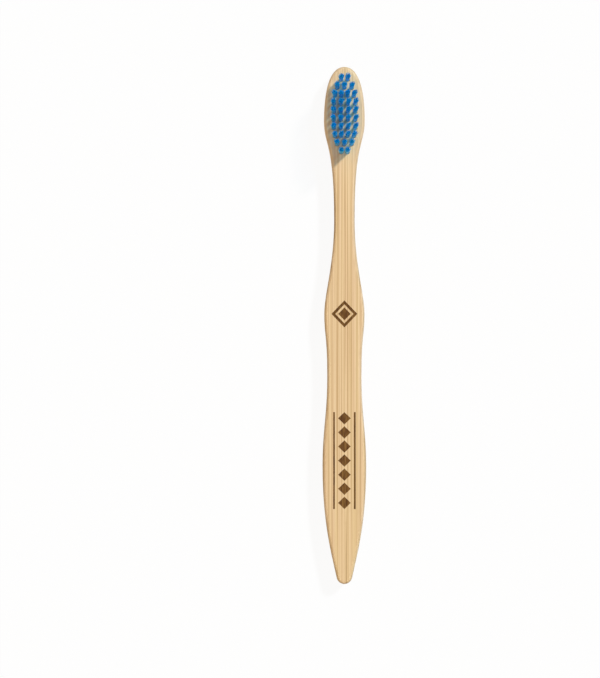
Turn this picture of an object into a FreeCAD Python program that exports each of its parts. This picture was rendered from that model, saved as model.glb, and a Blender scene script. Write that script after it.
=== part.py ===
"""Manual toothbrush: a flat bamboo handle with folded nylon tufts, each held in its hole by a metal anchor.

Millimetres. The brush lies on its back: +X runs towards the head, +Z the way the bristles point, and the
origin is on the resting surface, under the middle of the brush's length.
"""

import FreeCAD, Part
import math
import os

# Handle outline, seen from the bristle side: overall length, and the spans between its stations
LENGTH = 180.0
HEAD_TIP_TO_HEAD = 18.6
HEAD_TO_NECK = 34.6
NECK_TO_THUMB = 32.8
THUMB_TO_WAIST = 21.6
WAIST_TO_GRIP = 31.6

# Handle outline: full widths at those stations, and the round end of the tail
HEAD_WIDTH = 14.2
NECK_WIDTH = 7.1
THUMB_WIDTH = 14.0
WAIST_WIDTH = 11.9
GRIP_WIDTH = 15.2
TAIL_TIP_RADIUS = 2.75
TAIL_FLANK_ANGLE = 12.0

# How far each span of the outline stays level at its two ends, as a share of the span
HEAD_TIP_EASE = (0.82, 0.44)
HEAD_TO_NECK_EASE = (0.25, 0.80)
NECK_TO_THUMB_EASE = (0.48, 0.22)
THUMB_TO_WAIST_EASE = (0.36, 0.67)
WAIST_TO_GRIP_EASE = (0.45, 0.42)
GRIP_TO_TAIL_EASE = (0.52, 0.20)

# Handle section: the front is flat, and a slope in the back at the neck makes the head thinner than the grip
GRIP_THICKNESS = 7.0
HEAD_STEP = 1.4
SLOPE_LENGTH = 30.0
EDGE_ROUND = 1.0

# Tufts: for each row from the head's tip, how many stand in it and their pitch across the head
COLUMN_PITCH = 2.5
CLOSE_PITCH = 2.2
TUFT_ROWS = (
    (2, CLOSE_PITCH),
    (3, COLUMN_PITCH),
    (4, CLOSE_PITCH),
    (4, COLUMN_PITCH),
    (4, COLUMN_PITCH),
    (4, COLUMN_PITCH),
    (4, COLUMN_PITCH),
    (4, CLOSE_PITCH),
    (3, COLUMN_PITCH),
    (2, CLOSE_PITCH),
)
FIRST_ROW_FROM_TIP = 4.5
ROW_PITCH = 2.8
TUFT_HEIGHT = 10.5
TUFT_TIP_DIAMETER = 1.8
TUFT_TIP_ROUND = 0.3

# Blind holes that the tufts are driven into, and the wood left under the point of each hole
HOLE_DIAMETER = 1.6
HOLE_FLOOR = 1.4
DRILL_POINT_ANGLE = 118.0
TUFT_CLEARANCE = 0.03

# Anchors: flat strips that each tuft is folded under, and that bite into the wall of the hole
ANCHOR_THICKNESS = 0.25
ANCHOR_HEIGHT = 1.3
ANCHOR_BITE = 0.2
ANCHOR_ANGLE = 30.0
FOLD_ROOM = 0.3

# Burnt marks: a nested lozenge at the thumb and a chain of lozenges between two lines on the grip
MARK_DEPTH = 0.12
EMBLEM_LENGTH = 9.4
EMBLEM_WIDTH = 9.0
EMBLEM_BORDER = 0.95
EMBLEM_GAP = 0.75
CHAIN_COUNT = 7
CHAIN_PITCH = 4.9
CHAIN_LOZENGE_LENGTH = 4.3
CHAIN_LOZENGE_WIDTH = 4.4
CHAIN_CENTRE_FROM_GRIP = 2.2
CHAIN_LINE_FROM_EDGE = 4.0
CHAIN_LINE_WIDTH = 0.6

# How far a cutter stands proud of the face that it cuts, and how closely two lengths count as equal
CUTTER_PROUD = 1.0
TOLERANCE = 1e-6

# Stations along X, from the lengths above: the tail takes up what the other spans leave
HEAD_TIP_X = LENGTH / 2
HEAD_X = HEAD_TIP_X - HEAD_TIP_TO_HEAD
NECK_X = HEAD_X - HEAD_TO_NECK
THUMB_X = NECK_X - NECK_TO_THUMB
WAIST_X = THUMB_X - THUMB_TO_WAIST
GRIP_X = WAIST_X - WAIST_TO_GRIP
TAIL_TIP_X = -LENGTH / 2

# Heights, and the sizes of what fits together in a hole
FRONT_Z = GRIP_THICKNESS
HEAD_BACK_Z = HEAD_STEP
HEAD_THICKNESS = GRIP_THICKNESS - HEAD_STEP
HOLE_RADIUS = HOLE_DIAMETER / 2
POINT_SLOPE = 1 / math.tan(math.radians(DRILL_POINT_ANGLE / 2))
HOLE_DEPTH = HEAD_THICKNESS - HOLE_FLOOR - POINT_SLOPE * HOLE_RADIUS
TUFT_ROOT_RADIUS = HOLE_RADIUS - TUFT_CLEARANCE
ANCHOR_WIDTH = HOLE_DIAMETER + 2 * ANCHOR_BITE
ANCHOR_BOTTOM_Z = FOLD_ROOM - HOLE_DEPTH
UP = FreeCAD.Vector(0, 0, 1)


def at(x, y=0.0, z=0.0):
    """A point."""
    return FreeCAD.Vector(x, y, z)


def curve(points):
    """One smooth edge with these control points."""
    bezier = Part.BezierCurve()
    bezier.setPoles(points)
    return bezier.toShape()


def lines(points):
    """Straight edges through these points."""
    return [Part.LineSegment(a, b).toShape() for a, b in zip(points, points[1:])]


def level_span(x0, half0, x1, half1, ease):
    """Control points of an outline span that runs level out of one station and into the next."""
    run = x1 - x0
    return [at(x0, half0), at(x0 + ease[0] * run, half0), at(x1 - ease[1] * run, half1), at(x1, half1)]


def head_tip_span(head):
    """Control points from the head's tip, which the outline crosses squarely, to its widest station."""
    return [
        at(HEAD_TIP_X),
        at(HEAD_TIP_X, HEAD_TIP_EASE[0] * head),
        at(HEAD_X + HEAD_TIP_EASE[1] * HEAD_TIP_TO_HEAD, head),
        at(HEAD_X, head),
    ]


def tail_span(grip):
    """Control points from the grip's widest station to the point where the tail's round end begins."""
    flank = math.radians(TAIL_FLANK_ANGLE)
    round_centre_x = TAIL_TIP_X + TAIL_TIP_RADIUS
    end = at(round_centre_x - TAIL_TIP_RADIUS * math.sin(flank), TAIL_TIP_RADIUS * math.cos(flank))
    run = GRIP_X - end.x
    along_flank = at(math.cos(flank), math.sin(flank)) * (GRIP_TO_TAIL_EASE[1] * run)
    return [at(GRIP_X, grip), at(GRIP_X - GRIP_TO_TAIL_EASE[0] * run, grip), end + along_flank, end]


def outline_spans():
    """Control points of the outline's spans on its +Y side, from the head's tip to the tail's round end."""
    head = HEAD_WIDTH / 2
    neck = NECK_WIDTH / 2
    thumb = THUMB_WIDTH / 2
    waist = WAIST_WIDTH / 2
    grip = GRIP_WIDTH / 2
    return [
        head_tip_span(head),
        level_span(HEAD_X, head, NECK_X, neck, HEAD_TO_NECK_EASE),
        level_span(NECK_X, neck, THUMB_X, thumb, NECK_TO_THUMB_EASE),
        level_span(THUMB_X, thumb, WAIST_X, waist, THUMB_TO_WAIST_EASE),
        level_span(WAIST_X, waist, GRIP_X, grip, WAIST_TO_GRIP_EASE),
        tail_span(grip),
    ]


def mirrored(point):
    """The point on the other side of the brush's middle plane."""
    return at(point.x, -point.y, point.z)


def outline_face():
    """The handle's plan, as a flat face on the resting surface."""
    spans = outline_spans()
    near = [curve(span) for span in spans]
    tail_end = spans[-1][-1]
    round_end = Part.Arc(tail_end, at(TAIL_TIP_X), mirrored(tail_end)).toShape()
    far = [curve([mirrored(p) for p in reversed(span)]) for span in reversed(spans)]
    return Part.Face(Part.Wire(near + [round_end] + far))


def side_face():
    """The handle's side view: flat front, and a back that slopes up at the neck to thin the head."""
    slope_start = at(NECK_X - SLOPE_LENGTH / 2)
    slope_end = at(NECK_X + SLOPE_LENGTH / 2, 0, HEAD_BACK_Z)
    slope = curve([slope_start, at(NECK_X), at(NECK_X, 0, HEAD_BACK_Z), slope_end])
    rest = lines(
        [
            slope_end,
            at(HEAD_TIP_X, 0, HEAD_BACK_Z),
            at(HEAD_TIP_X, 0, FRONT_Z),
            at(TAIL_TIP_X, 0, FRONT_Z),
            at(TAIL_TIP_X),
            slope_start,
        ]
    )
    return Part.Face(Part.Wire([slope] + rest))


def is_rim(edge):
    """True for the edges between the handle's wall and its front or back, false for seams within those."""
    run = edge.lastVertex().Point - edge.firstVertex().Point
    straight = abs(run.Length - edge.Length) < TOLERANCE
    across_or_upright = abs(run.x) < TOLERANCE
    return not (straight and across_or_upright)


def blank():
    """The handle before drilling: plan and side view combined, with its rims rounded."""
    widest = max(HEAD_WIDTH, NECK_WIDTH, THUMB_WIDTH, WAIST_WIDTH, GRIP_WIDTH)
    plan = outline_face().extrude(UP * FRONT_Z)
    side = side_face()
    side.translate(at(0, -widest))
    body = plan.common(side.extrude(at(0, 2 * widest))).Solids[0]
    return body.makeFillet(EDGE_ROUND, [edge for edge in body.Edges if is_rim(edge)])


def tuft_places():
    """(row, column, point on the front face) of every tuft, counted from the head's tip and from -Y."""
    places = []
    for row, (count, pitch) in enumerate(TUFT_ROWS):
        x = HEAD_TIP_X - FIRST_ROW_FROM_TIP - ROW_PITCH * row
        for column in range(count):
            y = pitch * (column - (count - 1) / 2)
            places.append((row + 1, column + 1, at(x, y, FRONT_Z)))
    return places


def turned(profile):
    """A solid of revolution about Z from an open profile of edges, closed along the axis."""
    axis = lines([profile[-1].lastVertex().Point, profile[0].firstVertex().Point])
    return Part.Face(Part.Wire(profile + axis)).revolve(at(0), UP, 360)


def pointed_root(radius):
    """Profile points of a round body of this radius, from a drill's point up to the bottom of its wall."""
    return [at(0, 0, -HOLE_DEPTH - POINT_SLOPE * radius), at(radius, 0, -HOLE_DEPTH)]


def anchor_strip():
    """The anchor of a tuft that stands on the origin."""
    corner = at(-ANCHOR_WIDTH / 2, -ANCHOR_THICKNESS / 2, ANCHOR_BOTTOM_Z)
    strip = Part.makeBox(ANCHOR_WIDTH, ANCHOR_THICKNESS, ANCHOR_HEIGHT, corner)
    strip.rotate(at(0), UP, ANCHOR_ANGLE)
    return strip


def hole_tool():
    """What is cut away for one tuft: the drilled hole and the slits that its anchor bites."""
    wall_and_top = [at(HOLE_RADIUS, 0, CUTTER_PROUD), at(0, 0, CUTTER_PROUD)]
    hole = turned(lines(pointed_root(HOLE_RADIUS) + wall_and_top))
    return hole.fuse(anchor_strip())


def tuft():
    """One folded tuft standing on the origin, with its root round the anchor and its tip rounded."""
    tip_radius = TUFT_TIP_DIAMETER / 2
    flat_radius = tip_radius - TUFT_TIP_ROUND
    shoulder = at(tip_radius, 0, TUFT_HEIGHT - TUFT_TIP_ROUND)
    flat_edge = at(flat_radius, 0, TUFT_HEIGHT)
    diagonal = TUFT_TIP_ROUND * math.sqrt(0.5)
    round_middle = at(flat_radius + diagonal, 0, shoulder.z + diagonal)
    stem = lines(pointed_root(TUFT_ROOT_RADIUS) + [at(TUFT_ROOT_RADIUS), shoulder])
    tip = [Part.Arc(shoulder, round_middle, flat_edge).toShape()] + lines([flat_edge, at(0, 0, TUFT_HEIGHT)])
    return turned(stem + tip).cut(anchor_strip())


def prism(corners):
    """A cutter for a burnt mark, with these corners in plan."""
    floor = [at(x, y, FRONT_Z - MARK_DEPTH) for x, y in corners]
    return Part.Face(Part.makePolygon(floor + floor[:1])).extrude(UP * (MARK_DEPTH + CUTTER_PROUD))


def lozenge(x, length, width):
    """A lozenge cutter on the middle line."""
    return prism([(x + length / 2, 0), (x, width / 2), (x - length / 2, 0), (x, -width / 2)])


def emblem_lozenge(inset):
    """The emblem's outer lozenge, or a smaller one whose sides lie this far inside it."""
    diagonal = math.hypot(EMBLEM_LENGTH, EMBLEM_WIDTH)
    length = EMBLEM_LENGTH - 2 * inset * diagonal / EMBLEM_WIDTH
    width = EMBLEM_WIDTH - 2 * inset * diagonal / EMBLEM_LENGTH
    return lozenge(THUMB_X, length, width)


def emblem_cutters():
    """A lozenge ring with a solid lozenge in it, at the thumb."""
    ring = emblem_lozenge(0).cut(emblem_lozenge(EMBLEM_BORDER))
    return [ring, emblem_lozenge(EMBLEM_BORDER + EMBLEM_GAP)]


def chain_cutters():
    """A chain of lozenges along the grip, between two lines."""
    centre = GRIP_X + CHAIN_CENTRE_FROM_GRIP
    first = centre - CHAIN_PITCH * (CHAIN_COUNT - 1) / 2
    cutters = []
    for i in range(CHAIN_COUNT):
        cutters.append(lozenge(first + CHAIN_PITCH * i, CHAIN_LOZENGE_LENGTH, CHAIN_LOZENGE_WIDTH))
    start = first - CHAIN_LOZENGE_LENGTH / 2
    end = 2 * centre - start
    outer = GRIP_WIDTH / 2 - CHAIN_LINE_FROM_EDGE + CHAIN_LINE_WIDTH / 2
    inner = outer - CHAIN_LINE_WIDTH
    for side in (-1, 1):
        corners = [(start, inner), (end, inner), (end, outer), (start, outer)]
        cutters.append(prism([(x, side * y) for x, y in corners]))
    return cutters


def placed(shape, point):
    """A copy of the shape, moved to this point."""
    copy = shape.copy()
    copy.translate(point)
    return copy


def handle():
    """The drilled and marked handle."""
    tool = hole_tool()
    holes = [placed(tool, point) for _, _, point in tuft_places()]
    return blank().cut(holes + emblem_cutters() + chain_cutters())


def export(shape, node):
    """Writes one node, after checking that its solids are sound."""
    if not shape.isValid() or not shape.Solids:
        raise RuntimeError(f"{node} is not a sound solid")
    shape.exportStep(os.path.join("parts", node + ".step"))


def main():
    os.makedirs("parts", exist_ok=True)
    places = tuft_places()
    one_anchor = anchor_strip()
    one_tuft = tuft()
    export(handle(), "handle")
    export(Part.makeCompound([placed(one_anchor, point) for _, _, point in places]), "tuft_anchors")
    for row, column, point in places:
        export(placed(one_tuft, point), f"tuft_row{row:02d}_{column}")


main()
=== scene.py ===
import bpy
import math
import random
from mathutils import Matrix, Vector

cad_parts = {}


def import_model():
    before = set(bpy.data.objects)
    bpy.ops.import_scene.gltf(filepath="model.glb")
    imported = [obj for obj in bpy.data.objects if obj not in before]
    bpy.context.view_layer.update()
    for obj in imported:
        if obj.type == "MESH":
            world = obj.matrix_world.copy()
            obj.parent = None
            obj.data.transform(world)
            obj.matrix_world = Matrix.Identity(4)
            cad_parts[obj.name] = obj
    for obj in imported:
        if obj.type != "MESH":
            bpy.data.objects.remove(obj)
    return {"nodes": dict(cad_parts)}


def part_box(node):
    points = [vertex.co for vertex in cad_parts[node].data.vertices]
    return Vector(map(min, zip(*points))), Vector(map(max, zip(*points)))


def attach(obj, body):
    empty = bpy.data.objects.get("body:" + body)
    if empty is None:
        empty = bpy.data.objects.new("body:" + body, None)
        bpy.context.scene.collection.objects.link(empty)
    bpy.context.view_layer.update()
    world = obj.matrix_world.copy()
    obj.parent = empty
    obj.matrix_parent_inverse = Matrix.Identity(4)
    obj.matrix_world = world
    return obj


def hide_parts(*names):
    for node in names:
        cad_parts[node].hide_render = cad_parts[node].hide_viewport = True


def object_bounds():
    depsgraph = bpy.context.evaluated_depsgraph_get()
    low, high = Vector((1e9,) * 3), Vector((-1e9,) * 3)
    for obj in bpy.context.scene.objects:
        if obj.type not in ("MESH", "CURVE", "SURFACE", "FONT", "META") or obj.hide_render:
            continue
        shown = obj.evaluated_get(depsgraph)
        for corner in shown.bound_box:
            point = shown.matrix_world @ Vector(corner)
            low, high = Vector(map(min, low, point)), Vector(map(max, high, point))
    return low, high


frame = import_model()
cad_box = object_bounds()

# The dressed toothbrush: bamboo with burnt marks for the handle, bundles of folded filaments for the tufts.
# Metres, in the CAD frame: the brush lies on its back, +X towards the head, +Z the way the bristles point.
# Colours of bamboo, nylon and brass are levels from 0 to 255 on screen. Tones, which multiply a colour, and
# the colours of lights and floor are linear.
MM = 0.001
FRONT_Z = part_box("handle")[1].z
TIP_Z = cad_box[1].z
BRUSH_LENGTH = cad_box[1].x - cad_box[0].x

# Patterns: length along the handle and width in millimetres, a seed, and the detail where it isn't plain
BANDS = (140, 2.4, 3.1)
STRIPES = (100, 0.8, 7.7)
THREADS = (90, 0.3, 4.7)
FLECKS = (5, 0.16, 5.3)
FIBRE_SWAY = (250, 2.6, 1.9)
FIBRE_FADING = (60, 0.9, 8.8)
CHARRING = (3, 0.6, 2.2, 3.0)
NYLON_PATCHES = (0.4, 0.4, 4.4)
BRASS_ROLLING = (1.5, 0.1, 6.1, 2.0)

# The levels of a pattern between which one colour, or one roughness, passes into another
BAND_LEVELS = (0.35, 0.65)
CHARRING_LEVELS = (0.35, 0.68)
ROLLING_LEVELS = (0.35, 0.65)
ROUGHNESS_LEVELS = (0.3, 0.7)

# Bamboo: its two bands, and the tints over them. A tint has the level of its pattern where it starts, the
# level where it is full, its share there, and its colour.
ROSY_BAND = (234, 203, 161)
YELLOW_BAND = (231, 202, 152)
DARK_STRIPES = (0.5, 0.68, 0.3, (216, 182, 134))
PALE_STRIPES = (0.48, 0.32, 0.3, (241, 213, 168))
DARK_THREADS = (0.5, 0.64, 0.55, (198, 161, 112))
PALE_THREADS = (0.47, 0.34, 0.55, (249, 224, 184))
DARK_FLECKS = (0.62, 0.78, 0.3, (176, 138, 92))
BAMBOO_ROUGHNESS = (0.48, 0.62)

# Dark fibres: thin lines about this far apart, on planes that lean between front and sides. They lie on the
# crests of a wave, between these levels of it, and fade in places.
FIBRE_PITCH = 1.4 * MM
FIBRE_DRIFT = 2.4 * MM
FIBRE_LEAN = 0.9
FIBRE_EDGE_LEVELS = (0.45, 0.95)
FIBRE_FADING_LEVELS = (0.3, 0.6)
FAINTEST_FIBRE = 0.4
FIBRE_SHARE = 0.75
FIBRE_COLOUR = (190, 153, 104)

# A darker fibre that comes to the surface on the tail
TAIL_FIBRE_Y = -0.64 * MM
TAIL_FIBRE_HALF_WIDTH = 0.2 * MM
TAIL_FIBRE_CORE = 0.06 * MM
TAIL_FIBRE_DEPTH = 1.5 * MM
TAIL_FIBRE_FROM_X = -58 * MM
TAIL_FIBRE_FULL_X = -84 * MM
TAIL_FIBRE_SHARE = 0.7
TAIL_FIBRE_COLOUR = (150, 112, 70)

# Relief of the bamboo: how high its stripes stand, how much of that shows, and how far the fibres sink in it
RELIEF_HEIGHT = 0.03 * MM
RELIEF_STRENGTH = 0.5
FIBRE_GROOVE = 0.3

# The grain shows most from the neck to the waist, and less on the tail and the head
CALM_TAIL_X = -84 * MM
CLEAR_FROM_X = -45 * MM
CLEAR_TO_X = 40 * MM
CALM_HEAD_X = 60 * MM
CALM_GRAIN = 0.5

# What sanding does to the bamboo's colour on the head, and painted shade that darkens the round edges,
# which show by how far the surface faces up or down
HEAD_TONE = (1.03, 1.04, 1.07, 1)
HEAD_TONE_FROM_X = 46 * MM
HEAD_TONE_FULL_X = 66 * MM
EDGE_PAINTED_SHADE = (0.81, 0.84, 0.89, 1)
EDGE_SHADE_LEVELS = (0.99, 0.75)

# Burnt marks: how deep they are sunk in the front, the depths where their colour starts, is full and ends,
# and the stretch of the handle that holds them
MARK_DEPTH = 0.12 * MM
BURN_FROM_DEPTH = 0.3 * MARK_DEPTH
BURN_FULL_DEPTH = 0.8 * MARK_DEPTH
BURN_END_DEPTH = 2 * MARK_DEPTH
MARKS_FROM_X = -66 * MM
MARKS_TO_X = 10 * MM
MARKS_HALF_WIDTH = 4.8 * MM

# What burning does to the bamboo's colour and roughness
LIGHT_BURN_TONE = (0.26, 0.17, 0.062, 1)
DEEP_BURN_TONE = (0.13, 0.067, 0.016, 1)
BURNT_ROUGHNESS = 0.2

# Nylon: its colour at the root, near the top and at the ground ends, which start and are full this far below
# the tips, and a darker tint in patches. The pale root is partly painted light on the shaded lower sides of
# the tufts, and the dark ground ends are painted shade.
NYLON_ROOT_WITH_PAINTED_LIGHT = (112, 202, 248)
NYLON_TOP = (30, 163, 215)
NYLON_END_PAINTED_SHADE = (5, 126, 176)
NYLON_END_SHADE_FROM = 0.6 * MM
NYLON_END_SHADE_FULL = 0.1 * MM
DARK_NYLON = (0.35, 0.7, 0.35, (7, 123, 183))

# What each wall of a filament lets through of a lamp's light, and how many walls a ray may pass
FILAMENT_TINT = (0.78, 0.885, 0.928, 1)
MOST_WALLS = 64

# Brass of the anchors
PALE_BRASS = (212, 178, 112)
DARK_BRASS = (190, 152, 84)
BRASS_ROUGHNESS = (0.28, 0.42)

# Filaments: each one is folded under its anchor, so it shows two ends
FILAMENT_RADIUS = 0.09 * MM
FILAMENT_PITCH = 0.19 * MM
FILAMENT_SIDES = 6
TUFT_ROOT_RADIUS = 0.77 * MM
ANCHOR_ANGLE = math.radians(30)
ANCHOR_HALF_THICKNESS = 0.125 * MM
FIELD_SPLAY = 1.055
TUFT_WANDER = 0.06 * MM
TIP_DOME = 0.4 * MM
TIP_UNEVENNESS = 0.15 * MM

# How much a tuft widens from root to tips, and how far a tip strays, at the tuft's core and at its rim
CORE_SPREAD = 1.15
RIM_SPREAD = 1.6
CORE_WANDER = 0.04 * MM
RIM_WANDER = 0.13 * MM

# A filament leaves its hole upright and bends outwards: 1 is straight, and more bends later. Above the head
# its rings lie at these shares of its height, from its tip down.
STEM_BEND = 1.6
STEM_STATIONS = (1.0, 0.75, 0.5, 0.25, 0.0)

# Its fold hangs under the anchor by its radius and this share of the fold's half width, with rings at these
# degrees of its turn.
FOLD_DROP = 0.3
FOLD_STATIONS = (45, 90, 135)

# The rounded end of a filament: how far back from its tip each ring lies, and how wide it is, in radii
ROUND_END = ((0.1, 0.45), (0.45, 0.85), (1, 1))

# Camera: the photograph's frame, and where the brush lies in it
IMAGE_WIDTH = 600
IMAGE_HEIGHT = 678
BRUSH_AXIS_PX = 344.4
CAMERA_OVER_PX = 322
BRUSH_MIDDLE_PX = 325.4
BRUSH_LENGTH_PX = 517.7
CAMERA_DISTANCE = 0.65
SENSOR = 36.0

# Light: how far from its root the shadow of a tuft's tip falls, the lamp, and the fill, which is warmer and
# comes more from the side away from the lamp
TIP_SHADOW_X = -8.4 * MM
TIP_SHADOW_Y = 8.9 * MM
KEY_STRENGTH = 3.29
KEY_COLOUR = (0.824, 0.91, 1.0)
KEY_ANGLE = math.radians(7.5)
FILL_COLOUR = (0.434, 0.337, 0.234, 1)
FILL_LEAN = 0.9

# Floor and background
WHITE = (1, 1, 1, 1)
FLOOR_COLOUR = (0.9, 0.9, 0.9, 1)
FLOOR_SIZE = 4.0
FLOOR_DROP = 0.05 * MM
FLOOR_WHITENESS = 0.93


# Node helpers
def add(tree, kind, inputs=None, **settings):
    """A new node. An input given as a socket is linked, and any other is set on the node's own socket."""
    node = tree.nodes.new(kind)
    for name, value in settings.items():
        setattr(node, name, value)
    for name, value in (inputs or {}).items():
        if isinstance(value, bpy.types.NodeSocket):
            tree.links.new(value, node.inputs[name])
        else:
            node.inputs[name].default_value = value
    return node


def calc(tree, operation, a, b=0.0):
    """One step of arithmetic on sockets or numbers."""
    return add(tree, "ShaderNodeMath", {0: a, 1: b}, operation=operation).outputs[0]


def ramp(tree, value, low, high, to_low=0.0, to_high=1.0):
    """The value's stretch from low to high, eased and clamped to another range."""
    inputs = {0: value, 1: low, 2: high, 3: to_low, 4: to_high}
    return add(tree, "ShaderNodeMapRange", inputs, interpolation_type="SMOOTHSTEP").outputs[0]


def mix(tree, factor, a, b, blend="MIX"):
    """Two colours, mixed."""
    inputs = {"Factor": factor, 6: a, 7: b}
    return add(tree, "ShaderNodeMix", inputs, data_type="RGBA", blend_type=blend).outputs[2]


def grain(tree, place, length, width, seed, detail=1.0):
    """Noise drawn out along the handle, on a lattice of this length and width in millimetres."""
    scale = (1 / (length * MM), 1 / (width * MM), 1 / (width * MM))
    inputs = {"Vector": place, "Location": (seed, seed, seed), "Scale": scale}
    drawn = add(tree, "ShaderNodeMapping", inputs).outputs[0]
    inputs = {"Vector": drawn, "Scale": 1.0, "Detail": detail}
    return add(tree, "ShaderNodeTexNoise", inputs).outputs[0]


def tinted(tree, colour, pattern, tint, strength=1.0):
    """The colour with a tint over it, where the pattern is between the tint's levels or past them."""
    start, full, share, levels = tint
    cover = calc(tree, "MULTIPLY", ramp(tree, pattern, start, full, 0.0, share), strength)
    return mix(tree, cover, colour, srgb(levels))


def material(name):
    """A new material, with its node tree and its Principled shader."""
    made = bpy.data.materials.new(name)
    made.use_nodes = True
    return made, made.node_tree, made.node_tree.nodes["Principled BSDF"]


def linear(level):
    """A linear colour value from its 0 to 255 level on screen."""
    share = level / 255
    return share / 12.92 if share <= 0.04045 else ((share + 0.055) / 1.055) ** 2.4


def srgb(levels):
    """A colour from its red, green and blue levels on screen."""
    red, green, blue = levels
    return (linear(red), linear(green), linear(blue), 1.0)


# Materials
def burnt_places(tree, axes):
    """1 on the floors of the burnt marks, 0 elsewhere."""
    depth = calc(tree, "SUBTRACT", FRONT_Z, axes["Z"])
    across = calc(tree, "ABSOLUTE", axes["Y"])
    burnt = ramp(tree, depth, BURN_FROM_DEPTH, BURN_FULL_DEPTH)
    limits = (
        calc(tree, "LESS_THAN", depth, BURN_END_DEPTH),
        calc(tree, "LESS_THAN", across, MARKS_HALF_WIDTH),
        calc(tree, "GREATER_THAN", axes["X"], MARKS_FROM_X),
        calc(tree, "LESS_THAN", axes["X"], MARKS_TO_X),
    )
    for limit in limits:
        burnt = calc(tree, "MULTIPLY", burnt, limit)
    return burnt


def tail_fibre(tree, axes):
    """1 on the dark fibre of the tail, fading out towards the grip and below the front."""
    aside = calc(tree, "ABSOLUTE", calc(tree, "SUBTRACT", axes["Y"], TAIL_FIBRE_Y))
    line = ramp(tree, aside, TAIL_FIBRE_HALF_WIDTH, TAIL_FIBRE_CORE)
    line = calc(tree, "MULTIPLY", line, ramp(tree, axes["Z"], FRONT_Z - TAIL_FIBRE_DEPTH, FRONT_Z))
    return calc(tree, "MULTIPLY", line, ramp(tree, axes["X"], TAIL_FIBRE_FROM_X, TAIL_FIBRE_FULL_X))


def fibre_lines(tree, axes, place):
    """1 along thin lines that run the length of the handle, unevenly spaced, and fade in places."""
    aside = calc(tree, "ADD", axes["Y"], calc(tree, "MULTIPLY", axes["Z"], FIBRE_LEAN))
    drift = calc(tree, "MULTIPLY", grain(tree, place, *FIBRE_SWAY), FIBRE_DRIFT)
    turns = calc(tree, "DIVIDE", calc(tree, "ADD", aside, drift), FIBRE_PITCH)
    wave = calc(tree, "SINE", calc(tree, "MULTIPLY", turns, 2 * math.pi))
    strength = ramp(tree, grain(tree, place, *FIBRE_FADING), *FIBRE_FADING_LEVELS, FAINTEST_FIBRE, 1.0)
    return calc(tree, "MULTIPLY", ramp(tree, wave, *FIBRE_EDGE_LEVELS), strength)


def grain_strength(tree, axes):
    """1 where the grain shows most, and less on the tail and the head."""
    towards_tail = ramp(tree, axes["X"], CLEAR_FROM_X, CALM_TAIL_X, 1.0, CALM_GRAIN)
    towards_head = ramp(tree, axes["X"], CLEAR_TO_X, CALM_HEAD_X, 1.0, CALM_GRAIN)
    return calc(tree, "MULTIPLY", towards_tail, towards_head)


def bamboo():
    """Straight-grained bamboo: rosy and yellow bands, darker fibres, short flecks and brown burnt marks."""
    made, tree, shader = material("bamboo")
    coordinates = add(tree, "ShaderNodeTexCoord").outputs
    place = coordinates["Object"]
    axes = add(tree, "ShaderNodeSeparateXYZ", {0: place}).outputs
    facing = add(tree, "ShaderNodeSeparateXYZ", {0: coordinates["Normal"]}).outputs["Z"]
    strength = grain_strength(tree, axes)

    # The grain
    bands = ramp(tree, grain(tree, place, *BANDS), *BAND_LEVELS)
    stripes = grain(tree, place, *STRIPES)
    threads = grain(tree, place, *THREADS)
    fibres = fibre_lines(tree, axes, place)
    colour = mix(tree, bands, srgb(ROSY_BAND), srgb(YELLOW_BAND))
    colour = tinted(tree, colour, stripes, DARK_STRIPES)
    colour = tinted(tree, colour, stripes, PALE_STRIPES)
    colour = tinted(tree, colour, threads, DARK_THREADS, strength)
    colour = tinted(tree, colour, threads, PALE_THREADS, strength)
    lines = calc(tree, "MULTIPLY", fibres, calc(tree, "MULTIPLY", strength, FIBRE_SHARE))
    colour = mix(tree, lines, colour, srgb(FIBRE_COLOUR))
    colour = tinted(tree, colour, grain(tree, place, *FLECKS), DARK_FLECKS)
    line = calc(tree, "MULTIPLY", tail_fibre(tree, axes), TAIL_FIBRE_SHARE)
    colour = mix(tree, line, colour, srgb(TAIL_FIBRE_COLOUR))

    # Sanding, painted shade on the round edges, and burning
    head = ramp(tree, axes["X"], HEAD_TONE_FROM_X, HEAD_TONE_FULL_X)
    colour = mix(tree, head, colour, HEAD_TONE, "MULTIPLY")
    # Painted shade: the round edges, which face sideways, are darkened.
    edge = ramp(tree, calc(tree, "ABSOLUTE", facing), *EDGE_SHADE_LEVELS)
    colour = mix(tree, edge, colour, EDGE_PAINTED_SHADE, "MULTIPLY")
    burnt = burnt_places(tree, axes)
    char = ramp(tree, grain(tree, place, *CHARRING), *CHARRING_LEVELS)
    colour = mix(tree, burnt, colour, mix(tree, char, LIGHT_BURN_TONE, DEEP_BURN_TONE), "MULTIPLY")
    tree.links.new(colour, shader.inputs["Base Color"])

    # The finish
    roughness = ramp(tree, stripes, *ROUGHNESS_LEVELS, *BAMBOO_ROUGHNESS)
    roughness = calc(tree, "ADD", roughness, calc(tree, "MULTIPLY", burnt, BURNT_ROUGHNESS))
    tree.links.new(roughness, shader.inputs["Roughness"])
    shader.inputs["Specular IOR Level"].default_value = 0.3
    relief = calc(tree, "SUBTRACT", stripes, calc(tree, "MULTIPLY", fibres, FIBRE_GROOVE))
    inputs = {"Height": relief, "Distance": RELIEF_HEIGHT, "Strength": RELIEF_STRENGTH}
    tree.links.new(add(tree, "ShaderNodeBump", inputs).outputs[0], shader.inputs["Normal"])
    return made


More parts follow.
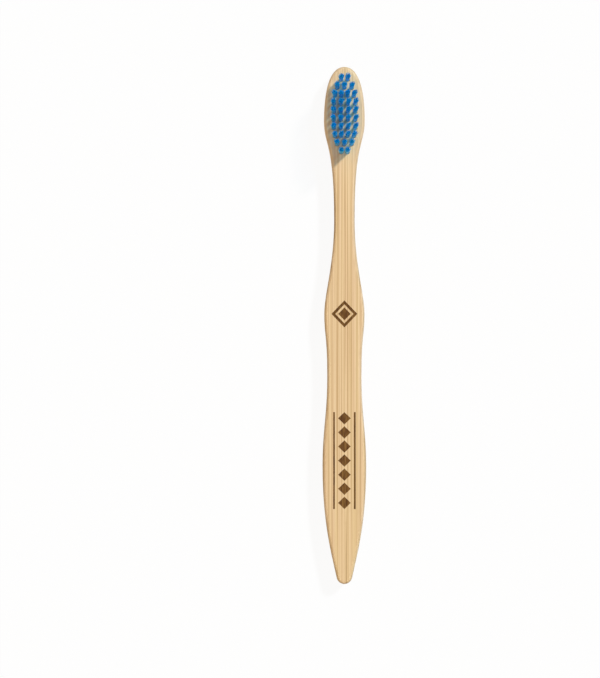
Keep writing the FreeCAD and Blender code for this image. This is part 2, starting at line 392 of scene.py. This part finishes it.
def nylon():
    """Blue nylon filament, which lets some light through: paler at its root, partly as painted light, and
    deepest at its ground ends as painted shade.
    """
    made, tree, shader = material("bristle_nylon")
    place = add(tree, "ShaderNodeTexCoord").outputs["Object"]
    height = add(tree, "ShaderNodeSeparateXYZ", {0: place}).outputs["Z"]
    # The paler root is partly painted light on the tufts' shaded lower sides.
    colour = mix(tree, ramp(tree, height, FRONT_Z, TIP_Z), srgb(NYLON_ROOT_WITH_PAINTED_LIGHT), srgb(NYLON_TOP))
    # Painted shade: the ground ends of the filaments are darkened.
    end = ramp(tree, height, TIP_Z - NYLON_END_SHADE_FROM, TIP_Z - NYLON_END_SHADE_FULL)
    colour = mix(tree, end, colour, srgb(NYLON_END_PAINTED_SHADE))
    colour = tinted(tree, colour, grain(tree, place, *NYLON_PATCHES), DARK_NYLON)
    tree.links.new(colour, shader.inputs["Base Color"])
    shader.inputs["Roughness"].default_value = 0.4
    shader.inputs["Specular IOR Level"].default_value = 0.02
    shader.inputs["Subsurface Weight"].default_value = 1.0
    shader.inputs["Subsurface Radius"].default_value = (0.5, 0.8, 1.0)
    shader.inputs["Subsurface Scale"].default_value = 0.5 * MM
    through = add(tree, "ShaderNodeBsdfTransparent", {"Color": FILAMENT_TINT}).outputs[0]
    lamp_ray = add(tree, "ShaderNodeLightPath").outputs["Is Shadow Ray"]
    both = add(tree, "ShaderNodeMixShader", {0: lamp_ray, 1: shader.outputs[0], 2: through}).outputs[0]
    tree.links.new(both, tree.nodes["Material Output"].inputs["Surface"])
    return made


def brass():
    """Rolled brass strip."""
    made, tree, shader = material("anchor_brass")
    place = add(tree, "ShaderNodeTexCoord").outputs["Object"]
    rolled = grain(tree, place, *BRASS_ROLLING)
    colour = mix(tree, ramp(tree, rolled, *ROLLING_LEVELS), srgb(PALE_BRASS), srgb(DARK_BRASS))
    tree.links.new(colour, shader.inputs["Base Color"])
    tree.links.new(ramp(tree, rolled, *ROUGHNESS_LEVELS, *BRASS_ROUGHNESS), shader.inputs["Roughness"])
    shader.inputs["Metallic"].default_value = 1.0
    return made


# Tufts
def packed_places():
    """Places of the filaments on one side of the anchor, close packed: along the anchor, and out from it."""
    places = []
    reach = TUFT_ROOT_RADIUS - FILAMENT_RADIUS
    row_pitch = FILAMENT_PITCH * math.sqrt(3) / 2
    out = FILAMENT_PITCH / 2
    first = 0.0
    while out < reach:
        steps = int((math.sqrt(reach**2 - out**2) - first) / FILAMENT_PITCH)
        ahead = [first + FILAMENT_PITCH * i for i in range(steps + 1)]
        behind = [-along for along in ahead if along > 0]
        places += [(along, out) for along in sorted(ahead + behind)]
        out += row_pitch
        first = FILAMENT_PITCH / 2 - first
    return places


def stem(place, side, lean, rng):
    """Centre points of one end of a filament, from its tip to the anchor's foot, in the tuft's own axes."""
    along, out = place
    root = Vector((along, side * out, FRONT_Z))
    edge = math.hypot(along, out) / TUFT_ROOT_RADIUS
    spread = CORE_SPREAD + (RIM_SPREAD - CORE_SPREAD) * edge**2
    wander = CORE_WANDER + (RIM_WANDER - CORE_WANDER) * edge**2
    tip = Vector((along * spread, side * out * spread, TIP_Z)) + lean
    tip.x += rng.gauss(0, wander)
    tip.y += rng.gauss(0, wander)
    tip.z -= TIP_DOME * edge**2 + TIP_UNEVENNESS * rng.random()
    reach = tip - root
    points = []
    for height in STEM_STATIONS:
        aside = height**STEM_BEND
        points.append(root + Vector((reach.x * aside, reach.y * aside, reach.z * height)))
    anchor_low, anchor_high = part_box("tuft_anchors")
    nearest = ANCHOR_HALF_THICKNESS + FILAMENT_RADIUS
    beside = nearest + out * (1 - nearest / TUFT_ROOT_RADIUS)
    for z in (anchor_high.z, anchor_low.z):
        points.append(Vector((along, side * beside, z)))
    return points


def folded(place, lean, rng):
    """Centre points of a whole filament: down one side of the anchor, under it, and up the other side."""
    down = stem(place, 1, lean, rng)
    up = stem(place, -1, lean, rng)
    foot = down[-1]
    drop = FILAMENT_RADIUS + FOLD_DROP * foot.y
    under = []
    for degrees in FOLD_STATIONS:
        turn = math.radians(degrees)
        under.append(Vector((foot.x, foot.y * math.cos(turn), foot.z - drop * math.sin(turn))))
    return down + under + up[::-1]


def rounded_rings(points):
    """(centre, radius) of the rings of a filament along these points, with its two ends rounded."""
    ends = []
    for tip, inner in ((points[0], points[1]), (points[-1], points[-2])):
        inwards = (inner - tip).normalized() * FILAMENT_RADIUS
        ends.append([(tip + inwards * back, FILAMENT_RADIUS * width) for back, width in ROUND_END])
    return ends[0] + [(point, FILAMENT_RADIUS) for point in points[1:-1]] + ends[1][::-1]


def add_tube(rings, verts, faces):
    """Adds a round tube through these rings."""
    start = len(verts)
    across = None
    for i, (centre, radius) in enumerate(rings):
        run = (rings[min(i + 1, len(rings) - 1)][0] - rings[max(i - 1, 0)][0]).normalized()
        across = run.orthogonal() if across is None else across - run * across.dot(run)
        across.normalize()
        other = run.cross(across)
        for k in range(FILAMENT_SIDES):
            turn = 2 * math.pi * k / FILAMENT_SIDES
            verts.append(centre + (across * math.cos(turn) + other * math.sin(turn)) * radius)
    for i in range(len(rings) - 1):
        ring = start + i * FILAMENT_SIDES
        for k in range(FILAMENT_SIDES):
            a = ring + k
            b = ring + (k + 1) % FILAMENT_SIDES
            faces.append((a, b, b + FILAMENT_SIDES, a + FILAMENT_SIDES))
    faces.append(tuple(range(start + FILAMENT_SIDES - 1, start - 1, -1)))
    faces.append(tuple(range(len(verts) - FILAMENT_SIDES, len(verts))))


def bristles(node, finish):
    """The bundle of filaments that stands for one tuft."""
    low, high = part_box(node)
    rng = random.Random(node)
    root = Vector(((low.x + high.x) / 2, (low.y + high.y) / 2, 0))
    turn = Matrix.Rotation(ANCHOR_ANGLE, 4, "Z")
    lean = Vector((rng.gauss(0, TUFT_WANDER), root.y * (FIELD_SPLAY - 1) + rng.gauss(0, TUFT_WANDER), 0))
    lean.rotate(turn.inverted())
    verts = []
    faces = []
    for place in packed_places():
        add_tube(rounded_rings(folded(place, lean, rng)), verts, faces)
    mesh = bpy.data.meshes.new(node.replace("tuft", "bristles"))
    mesh.from_pydata([root + turn @ v for v in verts], [], faces)
    mesh.shade_smooth()
    mesh.materials.append(finish)
    piece = bpy.data.objects.new(mesh.name, mesh)
    bpy.context.scene.collection.objects.link(piece)
    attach(piece, "root")
    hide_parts(node)


def paint(node, finish):
    """Gives a CAD node this material."""
    mesh = frame["nodes"][node].data
    mesh.materials.clear()
    mesh.materials.append(finish)


# Stage
def seen_rays(tree):
    """1 for the rays that show the background itself: from the camera, in reflections and through glass."""
    rays = add(tree, "ShaderNodeLightPath").outputs
    seen = calc(tree, "MAXIMUM", rays["Is Camera Ray"], rays["Is Glossy Ray"])
    return calc(tree, "MAXIMUM", seen, rays["Is Transmission Ray"])


def floor():
    """A white floor that keeps a faint shadow of the brush."""
    made, tree, shader = material("floor")
    tree.nodes.remove(shader)
    lit = add(tree, "ShaderNodeBsdfDiffuse", {"Color": FLOOR_COLOUR}).outputs[0]
    white = add(tree, "ShaderNodeEmission", {"Color": WHITE, "Strength": 1.0}).outputs[0]
    share = calc(tree, "MULTIPLY", seen_rays(tree), FLOOR_WHITENESS)
    both = add(tree, "ShaderNodeMixShader", {0: share, 1: lit, 2: white}).outputs[0]
    tree.links.new(both, tree.nodes["Material Output"].inputs["Surface"])
    bpy.ops.mesh.primitive_plane_add(size=FLOOR_SIZE, location=(0, 0, -FLOOR_DROP))
    plane = bpy.context.object
    plane.name = "floor"
    plane.data.materials.append(made)


def world():
    """Fill light, stronger from the side away from the lamp, with white behind the floor's edge."""
    made = bpy.data.worlds.new("studio")
    made.use_nodes = True
    tree = made.node_tree
    direction = add(tree, "ShaderNodeTexCoord").outputs["Generated"]
    away = Vector((TIP_SHADOW_X, TIP_SHADOW_Y, 0)).normalized()
    inputs = {0: direction, 1: away}
    far = add(tree, "ShaderNodeVectorMath", inputs, operation="DOT_PRODUCT").outputs["Value"]
    lamp_side = [level * (1 - FILL_LEAN) for level in FILL_COLOUR]
    far_side = [level * (1 + FILL_LEAN) for level in FILL_COLOUR]
    fill = mix(tree, ramp(tree, far, -1, 1), lamp_side, far_side)
    colour = mix(tree, seen_rays(tree), fill, WHITE)
    tree.links.new(colour, tree.nodes["Background"].inputs["Color"])
    bpy.context.scene.world = made


def key_light():
    """A fairly hard lamp, which throws the tufts' shadow across the head's edge and down the neck."""
    lamp = bpy.data.lights.new("key", "SUN")
    lamp.energy = KEY_STRENGTH
    lamp.color = KEY_COLOUR
    lamp.angle = KEY_ANGLE
    placed = bpy.data.objects.new("key", lamp)
    placed.rotation_mode = "QUATERNION"
    fall = Vector((TIP_SHADOW_X, TIP_SHADOW_Y, FRONT_Z - TIP_Z))
    placed.rotation_quaternion = fall.to_track_quat("-Z", "Y")
    bpy.context.scene.collection.objects.link(placed)


def camera():
    """Above the brush, a little to its left, with the head at the top of the picture."""
    metres_per_pixel = BRUSH_LENGTH / BRUSH_LENGTH_PX
    lens = bpy.data.cameras.new("camera")
    lens.sensor_width = SENSOR
    lens.lens = SENSOR * CAMERA_DISTANCE / (IMAGE_HEIGHT * metres_per_pixel)
    x = (BRUSH_MIDDLE_PX - IMAGE_HEIGHT / 2) * metres_per_pixel
    y = (BRUSH_AXIS_PX - CAMERA_OVER_PX) * metres_per_pixel
    aside = (BRUSH_AXIS_PX - IMAGE_WIDTH / 2) * metres_per_pixel
    place = Matrix.Translation((x, y, FRONT_Z + CAMERA_DISTANCE))
    turn = math.atan2(aside, CAMERA_DISTANCE) - math.atan2(y, CAMERA_DISTANCE)
    pan = Matrix.Rotation(turn, 4, "X")
    upright = Matrix.Rotation(-math.pi / 2, 4, "Z")
    placed = bpy.data.objects.new("camera", lens)
    placed.matrix_world = place @ pan @ upright
    bpy.context.scene.collection.objects.link(placed)
    bpy.context.scene.camera = placed


bpy.context.scene.view_settings.view_transform = "Standard"
bpy.context.scene.cycles.transparent_max_bounces = MOST_WALLS
paint("handle", bamboo())
paint("tuft_anchors", brass())
blue = nylon()
for tuft in sorted(name for name in frame["nodes"] if name.startswith("tuft_row")):
    bristles(tuft, blue)
floor()
world()
key_light()
camera()
